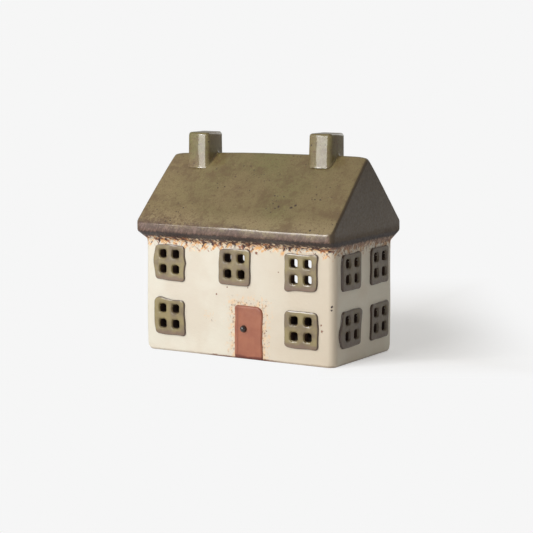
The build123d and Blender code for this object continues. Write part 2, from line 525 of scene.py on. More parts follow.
@dataclass(frozen=True)
class RoofGlaze:
    """Glossy olive glaze on the roof and chimneys, which breaks to brown at the lip, with painted shade on
    the gable ends and a painted sheen above the lip.
    """

    cream: CreamGlaze = CreamGlaze()
    olive: tuple = srgb(125, 110, 73)
    moss: tuple = srgb(116, 110, 66)
    # Straw tone of the thin streaks, also used for painted light towards the left end
    straw: tuple = srgb(145, 122, 88)
    # Painted sheen: the pale tint of a band above the lip
    pale: tuple = srgb(158, 140, 104)
    umber: tuple = srgb(102, 78, 52)
    pit: tuple = srgb(58, 40, 32)
    # Painted shade: the dark brown of the sideways-facing gable ends
    side_shade: tuple = srgb(74, 60, 44)
    mauve: tuple = srgb(132, 104, 94)
    plum: tuple = srgb(84, 62, 54)
    slate: tuple = srgb(52, 44, 45)
    wall_top_mm: float = 67.7
    lip_low_mm: float = 71.0
    lip_high_mm: float = 76.0
    sheen_top_mm: float = 85.0
    chimney_foot_mm: float = 108.0
    gable_low_mm: float = 58.0
    gable_high_mm: float = 63.0
    marks_mm: tuple = ((24.2, -29.2, 87.6, 0.9), (32.2, -29.3, 87.5, 1.0), (34.3, -28.0, 88.7, 0.9),
                       (19.7, -27.8, 88.9, 0.6), (-46.8, -38.2, 78.7, 0.6), (-42.2, -39.6, 77.3, 0.6),
                       (-17.4, -20.0, 96.6, 0.7), (-21.8, -20.8, 95.8, 0.6), (-58.5, -29.5, 87.3, 0.6))

    def material(self) -> Material:
        """Mix the glaze.

        Returns:
            The finished material.
        """
        bench = GlazeBench("roof_glaze")
        colour = bench.blend(bench.ramp(bench.cloud(0.03, 4), 0.4, 0.62), self.olive, self.moss)
        colour = self.wash(bench, colour)
        pits = self.pits(bench)
        colour = bench.blend(pits, colour, self.pit)
        for *place, radius in self.marks_mm:
            colour = bench.blend(bench.spot(place, radius), colour, self.pit)
        # Painted shade: the gable ends, which face sideways, turn dark brown
        outer = bench.ramp(bench.maths("ABSOLUTE", bench.x), self.gable_low_mm, self.gable_high_mm)
        ends = bench.times(bench.ramp(bench.attribute("sideways"), 0.35, 0.7), outer)
        ends = bench.times(ends, 0.92)
        colour = bench.blend(ends, colour, self.side_shade)
        colour = self.lip(bench, colour, ends)
        swell = bench.plus(bench.cloud(0.11, 2), bench.times(bench.cloud(0.3, 2), 0.15))
        grain = bench.cloud(0.8, 2)
        height = bench.plus(bench.times(swell, 3.0), bench.times(grain, 0.5))
        bench.relief(bench.minus(height, bench.times(pits, 1.2)), 0.09)
        coat = bench.ramp(bench.z, self.lip_low_mm, self.lip_high_mm - 1)
        coat = bench.times(coat, bench.minus(1.0, bench.times(ends, 0.5)))
        return bench.finish(colour, bench.ramp(grain, -0.5, 1.6), coat, 0.07, Coat_IOR=1.5)

    def wash(self, bench: GlazeBench, colour: Socket) -> Socket:
        """Let the glaze run thin and thick in straw streaks and brown clouds, with painted light that
        lightens the slopes towards the left, where the glaze is also browner, and a painted sheen above the
        lip.

        Args:
            bench: the material's node tree.
            colour: the plain olive.

        Returns:
            The colour's socket.
        """
        # Painted light: the slopes turn lighter towards the left, partly a browner tone of the glaze
        leftward = bench.ramp(bench.x, 5.0, -66.0)
        below = bench.ramp(bench.z, self.chimney_foot_mm + 8, self.chimney_foot_mm)
        colour = bench.blend(bench.times(bench.times(leftward, below), 0.6), colour, self.straw)
        # Painted sheen: a pale band on the slopes above the lip
        sheen_band = bench.ramp(bench.z, self.sheen_top_mm, self.lip_high_mm)
        colour = bench.blend(bench.times(sheen_band, 0.6), colour, self.pale)
        brown = bench.ramp(bench.cloud(0.06, 8, 0.72), 0.46, 0.62)
        colour = bench.blend(bench.times(brown, 0.65), colour, self.umber)
        thin = bench.cloud(0.4, 5, 0.75, bench.stretched((1.0, 1.0, 0.7), (0.3, 0.0, 0.0)))
        colour = bench.blend(bench.times(bench.ramp(thin, 0.56, 0.72), 0.6), colour, self.straw)
        corner = bench.times(bench.times(sheen_band, leftward), 0.09)
        freckles = bench.ramp(bench.plus(bench.cloud(0.55, 6, 0.8), corner), 0.53, 0.65)
        colour = bench.blend(bench.times(freckles, 0.85), colour, self.umber)
        dust = bench.ramp(bench.cloud(1.3, 3, 0.7), 0.5, 0.66)
        return bench.blend(bench.times(dust, 0.45), colour, self.umber)

    def pits(self, bench: GlazeBench) -> Socket:
        """Scatter small dark pits, some of them in clusters.

        Args:
            bench: the material's node tree.

        Returns:
            The mask's socket.
        """
        gathered = bench.ramp(bench.cloud(0.045, 3), 0.46, 0.6)
        clustered = bench.times(bench.specks(0.5, 0.34, 0.6), gathered)
        return bench.maths("MAXIMUM", clustered, bench.specks(0.2, 0.17, 0.3))

    def lip(self, bench: GlazeBench, colour: Socket,
            ends: Socket) -> Socket:
        """Break the glaze to plum on the lip and to slate under it, and bare the scorched wall below.

        Args:
            bench: the material's node tree.
            colour: the colour of the slopes.
            ends: where the gables are, which carry painted shade and have no plum.

        Returns:
            The colour's socket.
        """
        specks = bench.cloud(0.7, 5, 0.78)
        hairs = bench.cloud(0.75, 4, 0.7, bench.stretched((1.0, 1.0, 0.4), (0.0, 0.6, 0.0)))
        drift = bench.cloud(0.035, 2)
        level = bench.plus(bench.z, bench.times(bench.minus(specks, 0.5), 15.0))
        level = bench.plus(level, bench.times(bench.minus(drift, 0.5), 14.0))
        level = bench.minus(level, bench.times(bench.ramp(bench.x, 0.0, -62.0), 3.0))
        plum = bench.times(bench.ramp(level, self.lip_high_mm + 0.5, self.lip_low_mm), 0.9)
        lip = bench.blend(bench.times(bench.ramp(hairs, 0.48, 0.64), 0.7), self.plum, self.mauve)
        colour = bench.blend(bench.times(plum, bench.minus(1.0, ends)), colour, lip)
        under = bench.plus(bench.z, bench.times(bench.minus(hairs, 0.5), 4.0))
        dark = bench.times(bench.ramp(under, self.lip_low_mm + 0.3, self.lip_low_mm - 1.2), 0.9)
        colour = bench.blend(dark, colour, self.slate)
        plain = bench.blend(bench.ramp(hairs, 0.4, 0.6), self.cream.cream, self.cream.warm)
        wall = self.cream.scorch(bench, plain)
        return bench.blend(bench.ramp(under, self.wall_top_mm + 0.7, self.wall_top_mm - 0.7), colour, wall)


@dataclass(frozen=True)
class WindowGlaze:
    """Glossy grey olive glaze on the window frames, thin and brown along its edges, with painted shade on
    the frames of the side walls.
    """

    olive: tuple = srgb(144, 129, 86)
    grey: tuple = srgb(118, 101, 77)
    edge: tuple = srgb(62, 42, 36)
    mauve: tuple = srgb(118, 94, 80)
    # Painted shade: the darker tint of the frames on the side walls
    side_shade: tuple = srgb(74, 60, 46)
    end_low_mm: float = 60.0
    end_high_mm: float = 62.5

    def material(self) -> Material:
        """Mix the glaze.

        Returns:
            The finished material.
        """
        bench = GlazeBench("window_glaze")
        colour = bench.blend(bench.ramp(bench.cloud(0.1, 4), 0.38, 0.64), self.olive, self.grey)
        ends = bench.ramp(bench.maths("ABSOLUTE", bench.x), self.end_low_mm, self.end_high_mm)
        lower = bench.plus(bench.attribute("lower"), bench.times(bench.cloud(0.3, 3), 0.16))
        colour = bench.blend(bench.times(bench.ramp(lower, 0.9, 1.02), 0.8), colour, self.mauve)
        # Painted shade: the frames on the side walls turn darker
        colour = bench.blend(bench.times(ends, 0.7), colour, self.side_shade)
        thin = bench.plus(bench.attribute("inward"), bench.times(bench.cloud(0.5, 3), 0.5))
        colour = bench.blend(bench.times(bench.ramp(thin, 0.95, 0.5), 0.85), colour, self.edge)
        grain = bench.cloud(0.5, 2)
        bench.relief(grain, 0.08)
        return bench.finish(colour, bench.ramp(grain, -0.5, 1.6), coat=0.9, coat_roughness=0.06,
                            Coat_IOR=1.5)


@dataclass(frozen=True)
class DoorSlip:
    """Satin terracotta slip on the door, pooled dark along its foot, with painted shade along the groove by
    the hinge.
    """

    brick: tuple = srgb(162, 100, 74)
    rose: tuple = srgb(150, 88, 66)
    pool: tuple = srgb(112, 58, 46)
    # Painted shade in the groove by the hinge
    shade: tuple = srgb(128, 68, 48)
    pool_mm: float = 2.6
    line_inset_mm: float = 2.3

    def material(self) -> Material:
        """Mix the slip.

        Returns:
            The finished material.
        """
        bench = GlazeBench("door_slip")
        colour = bench.blend(bench.ramp(bench.cloud(0.12, 4), 0.36, 0.64), self.brick, self.rose)
        thin = bench.plus(bench.attribute("rise"), bench.times(bench.cloud(0.5, 3), 0.3))
        colour = bench.blend(bench.ramp(thin, 0.7, 0.25), colour, self.rose)
        wave = bench.plus(bench.z, bench.times(bench.cloud(0.09, 2), -3.4))
        colour = bench.blend(bench.ramp(wave, self.pool_mm - 1.6, self.pool_mm - 2.6), colour, self.pool)
        # Painted shade: a dark line along the groove beside the hinge edge
        hinge = box_of("door")[0].x / MM + self.line_inset_mm
        line = bench.ramp(bench.maths("ABSOLUTE", bench.minus(bench.x, hinge)), 1.0, 0.2)
        colour = bench.blend(bench.times(line, 0.6), colour, self.shade)
        grain = bench.cloud(0.6, 3)
        bench.relief(grain, 0.06)
        return bench.finish(colour, bench.ramp(grain, -0.4, 1.4), coat=0.2, coat_roughness=0.25)


@dataclass(frozen=True)
class KnobGlaze:
    """Black gloss on the door's knob."""

    black: tuple = srgb(26, 24, 25)
    brown: tuple = srgb(48, 38, 34)

    def material(self) -> Material:
        """Mix the glaze.

        Returns:
            The finished material.
        """
        bench = GlazeBench("knob_glaze")
        colour = bench.blend(bench.ramp(bench.cloud(0.5, 3), 0.4, 0.7), self.black, self.brown)
        grain = bench.cloud(0.8, 2)
        bench.relief(grain, 0.03)
        return bench.finish(colour, bench.ramp(grain, -0.2, 3.0), coat=0.8, coat_roughness=0.06)


@dataclass(frozen=True)
class BareClay:
    """Unglazed brown stoneware inside the house and under its foot."""

    brown: tuple = srgb(84, 62, 50)
    dark: tuple = srgb(58, 42, 36)

    def material(self) -> Material:
        """Mix the clay.

        Returns:
            The finished material.
        """
        bench = GlazeBench("bare_clay")
        colour = bench.blend(bench.ramp(bench.cloud(0.08, 5), 0.35, 0.65), self.brown, self.dark)
        grain = bench.cloud(1.1, 4)
        colour = bench.blend(bench.specks(0.4, 0.2, 0.3), colour, self.dark)
        bench.relief(grain, 0.12)
        return bench.finish(colour, bench.ramp(grain, -2.0, 0.9))


@dataclass(frozen=True)
class Foil:
    """Thin pressed aluminium of the candle's cup."""

    bright: tuple = srgb(226, 226, 228)
    dull: tuple = srgb(196, 196, 200)

    def material(self) -> Material:
        """Mix the metal.

        Returns:
            The finished material.
        """
        bench = GlazeBench("candle_foil")
        rolled = bench.cloud(0.6, 4, 0.6, bench.stretched((0.3, 0.3, 2.2)))
        colour = bench.blend(bench.ramp(rolled, 0.35, 0.65), self.bright, self.dull)
        bench.relief(rolled, 0.02)
        return bench.finish(colour, bench.ramp(rolled, -0.5, 2.2), Metallic=1.0)


@dataclass(frozen=True)
class Wax:
    """White paraffin wax, which lets a little light in."""

    white: tuple = srgb(241, 238, 230)
    cloudy: tuple = srgb(230, 226, 214)

    def material(self) -> Material:
        """Mix the wax.

        Returns:
            The finished material.
        """
        bench = GlazeBench("candle_wax")
        frost = bench.cloud(0.3, 4, 0.6)
        colour = bench.blend(bench.ramp(frost, 0.38, 0.66), self.white, self.cloudy)
        bench.relief(frost, 0.05)
        bench.shader.inputs["Subsurface Scale"].default_value = 2 * MM
        return bench.finish(colour, bench.ramp(frost, -0.6, 1.8), Subsurface_Weight=0.3)


@dataclass(frozen=True)
class CottonBraid:
    """Waxed cotton of the wick."""

    cotton: tuple = srgb(232, 226, 210)
    shade: tuple = srgb(190, 178, 154)

    def material(self) -> Material:
        """Mix the cotton.

        Returns:
            The finished material.
        """
        bench = GlazeBench("wick_cotton")
        fibres = bench.cloud(3.0, 3, 0.6, bench.stretched((2.0, 2.0, 0.6), (0.5, 0.0, 0.0)))
        colour = bench.blend(bench.ramp(fibres, 0.35, 0.65), self.cotton, self.shade)
        bench.relief(fibres, 0.08)
        return bench.finish(colour, bench.ramp(fibres, -1.5, 1.0))


@dataclass(frozen=True)
class TinnedSteel:
    """Plain tinned steel of the wick's tab."""

    tin: tuple = srgb(176, 176, 178)
    grey: tuple = srgb(146, 146, 150)

    def material(self) -> Material:
        """Mix the metal.

        Returns:
            The finished material.
        """
        bench = GlazeBench("tab_tin")
        worn = bench.cloud(0.7, 4)
        colour = bench.blend(bench.ramp(worn, 0.35, 0.65), self.tin, self.grey)
        bench.relief(worn, 0.02)
        return bench.finish(colour, bench.ramp(worn, -0.6, 1.6), Metallic=1.0)


@dataclass
class Palette:
    """One material of each finish, mixed once."""

    cream: Material = field(default_factory=lambda: CreamGlaze().material())
    roof: Material = field(default_factory=lambda: RoofGlaze().material())
    window: Material = field(default_factory=lambda: WindowGlaze().material())
    door: Material = field(default_factory=lambda: DoorSlip().material())
    knob: Material = field(default_factory=lambda: KnobGlaze().material())
    clay: Material = field(default_factory=lambda: BareClay().material())
    foil: Material = field(default_factory=lambda: Foil().material())
    wax: Material = field(default_factory=lambda: Wax().material())
    cotton: Material = field(default_factory=lambda: CottonBraid().material())
    tin: Material = field(default_factory=lambda: TinnedSteel().material())


@dataclass(frozen=True)
class HandTouch:
    """The slight unevenness that hands and firing leave in clay."""

    swell: float = 0.35 * MM
    swell_span: float = 34 * MM
    ripple: float = 0.05 * MM
    ripple_span: float = 9 * MM
    still_height: float = 5 * MM
    sag_span: float = 30 * MM
    sag_tilt: float = 0.45 * MM
    sag_droop: float = 0.25 * MM

    def sag(self, place: Vector) -> float:
        """How far the ridge over one place lies above or below its true line.

        Args:
            place: a point of the roof.

        Returns:
            The height to add, none at the eaves and all of it at the ridge.
        """
        low, high = box_of("roof_front_slope")
        share = min(1.0, max(0.0, 1.3 * (place.z - low.z) / (high.z - low.z) - 0.3))
        along = place.x / self.sag_span
        return share * (self.sag_tilt * along - self.sag_droop * along * along)

    def shift(self, place: Vector) -> Vector:
        """How far the clay at one place has moved.

        Args:
            place: a point of the true shape.

        Returns:
            The move, which fades out at the foot so that the house stands flat.
        """
        move = noise.noise_vector(place / self.swell_span) * self.swell
        move += noise.noise_vector(place / self.ripple_span) * self.ripple
        move.z *= min(1.0, max(0.0, place.z / self.still_height))
        return move

    def apply(self, bm: BMesh) -> None:
        """Move every vertex of a piece."""
        for vert in bm.verts:
            vert.co += self.shift(vert.co)


HAND = HandTouch()


def cut_lattice(bm: BMesh, step: float, axes: str = "XYZ") -> None:
    """Cut a mesh's faces along evenly spaced planes, so that it can take an uneven surface.

    The planes are the same for every piece, so pieces that touch are cut alike along their seams.

    Args:
        bm: the mesh.
        step: how far apart the planes are.
        axes: the axes that the planes stand across.
    """
    for axis, letter in enumerate("XYZ"):
        if letter not in axes:
            continue
        values = [vert.co[axis] for vert in bm.verts]
        normal = Vector([float(axis == other) for other in range(3)])
        for index in range(math.ceil(min(values) / step), math.floor(max(values) / step) + 1):
            geometry = bm.verts[:] + bm.edges[:] + bm.faces[:]
            point = normal * (index * step)
            bmesh.ops.bisect_plane(bm, geom=geometry, dist=WELD, plane_co=point, plane_no=normal)


def store_sideways(bm: BMesh) -> None:
    """Keep how far each vertex faces left or right, for the painted shade on upright ends.

    Args:
        bm: the piece's mesh.
    """
    bm.normal_update()
    layer = bm.verts.layers.float.new("sideways")
    for vert in bm.verts:
        vert[layer] = abs(vert.normal.x)


def even_shading(piece: bpy.types.Object) -> None:
    """Let a piece's broad faces stay flat in shading right up to their rounded edges.

    Args:
        piece: the piece's object.
    """
    shading = piece.modifiers.new("even_shading", "WEIGHTED_NORMAL")
    shading.mode = "FACE_AREA"
    shading.weight = 100
    shading.keep_sharp = True


def set_down(bm: BMesh, name: str, node: str, materials: list[Material],
             body: Body = Body.HOUSE, sharp_degrees: float = 40.0) -> bpy.types.Object:
    """Turn a finished bmesh into a piece of the object.

    Args:
        bm: the mesh, in place in the frame; it is freed.
        name: the piece's name.
        node: the CAD node that the piece stands for.
        materials: its materials, in the order of its faces' indices.
        body: the body that it rides on.
        sharp_degrees: edges that turn by more than this stay crisp.

    Returns:
        The piece's object.
    """
    bm.normal_update()
    for face in bm.faces:
        face.smooth = True
    for edge in bm.edges:
        edge.smooth = edge.calc_face_angle(0.0) < math.radians(sharp_degrees)
    mesh = bpy.data.meshes.new(name)
    bm.to_mesh(mesh)
    bm.free()
    carried = mesh.attributes.get("custom_normal")
    if carried:
        mesh.attributes.remove(carried)
    for material in materials:
        mesh.materials.append(material)
    piece = bpy.data.objects.new(name, mesh)
    bpy.context.scene.collection.objects.link(piece)
    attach(piece, body.value)
    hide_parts(node)
    LOG.info("%s: %d faces", name, len(mesh.polygons))
    return piece


@dataclass
class ClayShell:
    """The slabs that make the house: walls, floor, roof slopes and gables."""

    palette: Palette
    wall_step: float = 2 * MM
    roof_step: float = 2 * MM
    skin: float = 0.35 * MM
    roof_thickness: float = 5 * MM
    foot_pull: float = 1.8 * MM
    foot_reach: float = 4 * MM
    ridge_drop: float = 0.9 * MM
    ridge_reach: Vector = field(default_factory=lambda: Vector((7.5, 0, 12)) * MM)
    walls: tuple[str, ...] = ("front_wall", "rear_wall", "left_wall", "right_wall")
    roof: tuple[str, ...] = ("roof_front_slope", "roof_rear_slope", "left_gable", "right_gable")

    def build(self) -> None:
        """Make every slab."""
        for node in self.walls:
            self.slab(node, self.palette.cream, self.wall_step)
        for node in self.roof:
            self.slab(node, self.palette.roof, self.roof_step)
        bm = self.copy_of("base_slab")
        cut_lattice(bm, self.wall_step)
        set_down(bm, "floor_clay", "base_slab", [self.palette.clay])

    def slab(self, node: str, glaze: Material, step: float) -> None:
        """Make one slab, glazed outside and bare inside.

        Args:
            node: the slab's CAD node.
            glaze: the glaze's material.
            step: how finely its faces are cut.
        """
        bm = self.copy_of(node)
        cut_lattice(bm, step)
        for face in bm.faces:
            face.material_index = int(self.is_inside(face.calc_center_median()))
        for vert in bm.verts:
            vert.co += self.softened_end(vert.co) if node in self.roof else self.softened_foot(vert.co)
        HAND.apply(bm)
        store_sideways(bm)
        even_shading(set_down(bm, f"{node}_clay", node, [glaze, self.palette.clay]))

    def softened_foot(self, place: Vector) -> Vector:
        """Give the move that rounds the lower corners of the walls more than the rest of the foot.

        Args:
            place: a point of a wall.

        Returns:
            The move, towards the middle of the house.
        """
        inner = box_of("base_slab")[1]
        across = min(1.0, max(0.0, (abs(place.x) - inner.x) / (box_of("right_wall")[1].x - inner.x)))
        back = min(1.0, max(0.0, (abs(place.y) - inner.y) / (box_of("rear_wall")[1].y - inner.y)))
        low = max(0.0, 1 - place.z / self.foot_reach)
        pull = self.foot_pull * across * back * low * low
        return Vector((-math.copysign(pull, place.x), -math.copysign(pull, place.y), 0))

    def softened_end(self, place: Vector) -> Vector:
        """Give the move that lets the ridge sag and turn down at its ends.

        Args:
            place: a point of the roof.

        Returns:
            The move, straight up or down.
        """
        tip = box_of("roof_front_slope")[1]
        outward = max(0.0, 1 - (tip.x - abs(place.x)) / self.ridge_reach.x)
        upward = max(0.0, 1 - (tip.z - place.z) / self.ridge_reach.z)
        return Vector((0, 0, HAND.sag(place) - self.ridge_drop * outward * outward * upward * upward))

    @staticmethod
    def copy_of(node: str) -> BMesh:
        """Copy a CAD node's mesh and join its loose triangles.

        Args:
            node: the node's name.

        Returns:
            The copy.
        """
        bm = bmesh.new()
        bm.from_mesh(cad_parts[node].data)
        bmesh.ops.remove_doubles(bm, verts=bm.verts[:], dist=WELD)
        return bm

    def is_inside(self, place: Vector) -> bool:
        """Tell whether a point of a slab's surface is one that the glaze doesn't reach.

        Args:
            place: the point.

        Returns:
            True on inner faces, in the reveals of the panes and arch, and under the foot.
        """
        chamber = box_of("base_slab")[1]
        wall = Vector((box_of("right_wall")[1].x, box_of("rear_wall")[1].y, 0))
        across, back = abs(place.x), abs(place.y)
        if place.z < WELD * 10:
            return True
        if place.z > box_of("front_wall")[1].z:
            top = box_of("roof_front_slope")[1].z
            under = top - back - self.roof_thickness
            return across < chamber.x + self.skin and back < chamber.y + self.skin and place.z < under
        if place.z < 2 * MM:
            return False
        through = across < chamber.x + self.skin and back < wall.y - self.skin
        return through or (back < chamber.y + self.skin and across < wall.x - self.skin)


@dataclass
class ChimneyStacks:
    """The two stacks astride the ridge, each with a swelling of glaze at its foot."""

    palette: Palette
    step: float = 1.1 * MM
    belly: float = 0.7 * MM
    lean_share: float = 0.035
    flare: float = 0.9 * MM
    flare_height: float = 1.3 * MM
    nodes: tuple[str, ...] = ("left_chimney", "right_chimney")

    def build(self) -> None:
        """Make both stacks."""
        for node in self.nodes:
            bm = ClayShell.copy_of(node)
            cut_lattice(bm, self.step)
            self.shape(bm, node)
            HAND.apply(bm)
            store_sideways(bm)
            even_shading(set_down(bm, f"{node}_stack", node, [self.palette.roof]))

    def shape(self, bm: BMesh, node: str) -> None:
        """Belly the stack's faces and swell its foot, where the glaze pools and the ridge sags.

        Args:
            bm: the stack's mesh.
            node: its CAD node.
        """
        low, high = box_of(node)
        axis = (low + high) / 2
        half = (high - low) / 2
        ridge = box_of("roof_front_slope")[1].z
        for vert in bm.verts:
            lift = max(0.0, vert.co.z - ridge + abs(vert.co.y))
            across = (vert.co.x - axis.x) / half.x
            back = (vert.co.y - axis.y) / half.y
            vert.co.x += self.belly * across * (1 - back * back)
            vert.co.y += back * (self.belly * (1 - across * across) - self.lean_share * lift)
            away = Vector((across, back, 0)).normalized()
            vert.co += away * (self.flare * math.exp(-((lift / self.flare_height) ** 2)))
            seat = Vector((axis.x, 0, ridge))
            vert.co.z += HAND.sag(seat) * min(1.0, max(0.0, (high.z - vert.co.z) / (high.z - ridge)))


def outside_of(x: float, y: float, across: float, height: float, radius: float) -> float:
    """Measure how far a point lies outside a rectangle with rounded corners.

    Args:
        x: the point's place across, from the rectangle's middle.
        y: the point's place up.
        across: half the rectangle's width.
        height: half its height.
        radius: the radius of its corners.

    Returns:
        The distance, which is negative inside.
    """
    beyond_x = abs(x) - across + radius
    beyond_y = abs(y) - height + radius
    corner = math.hypot(max(beyond_x, 0.0), max(beyond_y, 0.0))
    return corner + min(max(beyond_x, beyond_y), 0.0) - radius


def lift_plate(bm: BMesh, rise: float) -> list[bmesh.types.BMFace]:
    """Give a flat plate a low skirt, so that it becomes a closed slab.

    Args:
        bm: the flat plate.
        rise: the height of the skirt.

    Returns:
        The faces of the slab's top.
    """
    lower = bm.faces[:]
    raised = bmesh.ops.extrude_face_region(bm, geom=lower)
    top = [item for item in raised["geom"] if isinstance(item, bmesh.types.BMFace)]
    verts = [item for item in raised["geom"] if isinstance(item, bmesh.types.BMVert)]
    bmesh.ops.translate(bm, verts=verts, vec=(0, 0, rise))
    bmesh.ops.reverse_faces(bm, faces=[face for face in lower if face.is_valid])
    return top


@dataclass(frozen=True)
class Nudge:
    """One place where the brush pushed a window frame's edge in or out.

    The place is a share of the frame's half width and half height, and the push is in millimetres.
    """

    across_share: float
    up_share: float
    push_right: float
    push_up: float
    reach_share: float = 0.5

    def move_at(self, across: float, up: float) -> Vector:
        """Give the push at one point of the frame.

        Args:
            across: the point's place as a share of the half width.
            up: its place as a share of the half height.

        Returns:
            The push, which fades with distance.
        """
        away = math.hypot(across - self.across_share, up - self.up_share) / self.reach_share
        return Vector((self.push_right, self.push_up, 0)) * (MM * math.exp(-away * away))


# Edges that the photograph shows pushed in or out, by window
NUDGES = {
    "front_window_upper_left": (Nudge(-1.0, 0.1, -1.0, 0.0), Nudge(-1.0, 1.0, 0.5, -0.3),
                                Nudge(-1.0, -1.0, 0.9, 0.4), Nudge(1.0, 0.05, 0.6, 0.0, 0.2),
                                Nudge(1.0, -1.0, 0.4, -0.5, 0.3)),
    "front_window_lower_left": (Nudge(-0.6, 1.0, 0.0, 1.4, 0.35), Nudge(0.2, 1.0, 0.0, -0.4, 0.3),
                                Nudge(-1.0, -1.0, 0.7, 0.5), Nudge(1.0, -1.0, 0.4, -0.5, 0.3)),
    "front_window_upper_middle": (Nudge(-1.0, 1.0, 0.3, -0.5), Nudge(1.0, 1.0, 0.6, 0.5, 0.3)),
    "front_window_upper_right": (Nudge(1.0, 1.0, 1.1, 0.9, 0.3), Nudge(-1.0, -1.0, -0.5, -0.7, 0.3),
                                 Nudge(1.0, -1.0, -0.5, 0.4, 0.4)),
    "front_window_lower_right": (Nudge(1.0, 0.0, 0.5, 0.0), Nudge(1.0, -1.0, 0.7, -0.6, 0.3),
                                 Nudge(0.0, 1.0, 0.0, 0.4, 0.4)),
    "right_window_upper_front": (Nudge(-1.0, -0.1, -1.2, 0.0, 0.9), Nudge(0.8, 1.0, 0.5, 0.6, 0.4)),
    "right_window_lower_front": (Nudge(-1.0, -0.3, -3.0, 0.0, 0.6), Nudge(1.0, 0.8, 1.4, 0.0, 0.7)),
    "right_window_upper_rear": (Nudge(1.0, 1.0, 0.5, 0.5, 0.4), Nudge(-1.0, -1.0, -0.4, -0.3, 0.4)),
    "right_window_lower_rear": (Nudge(1.0, 1.0, 0.3, 0.6, 0.4), Nudge(-1.0, -1.0, -0.3, -0.5, 0.3)),
}


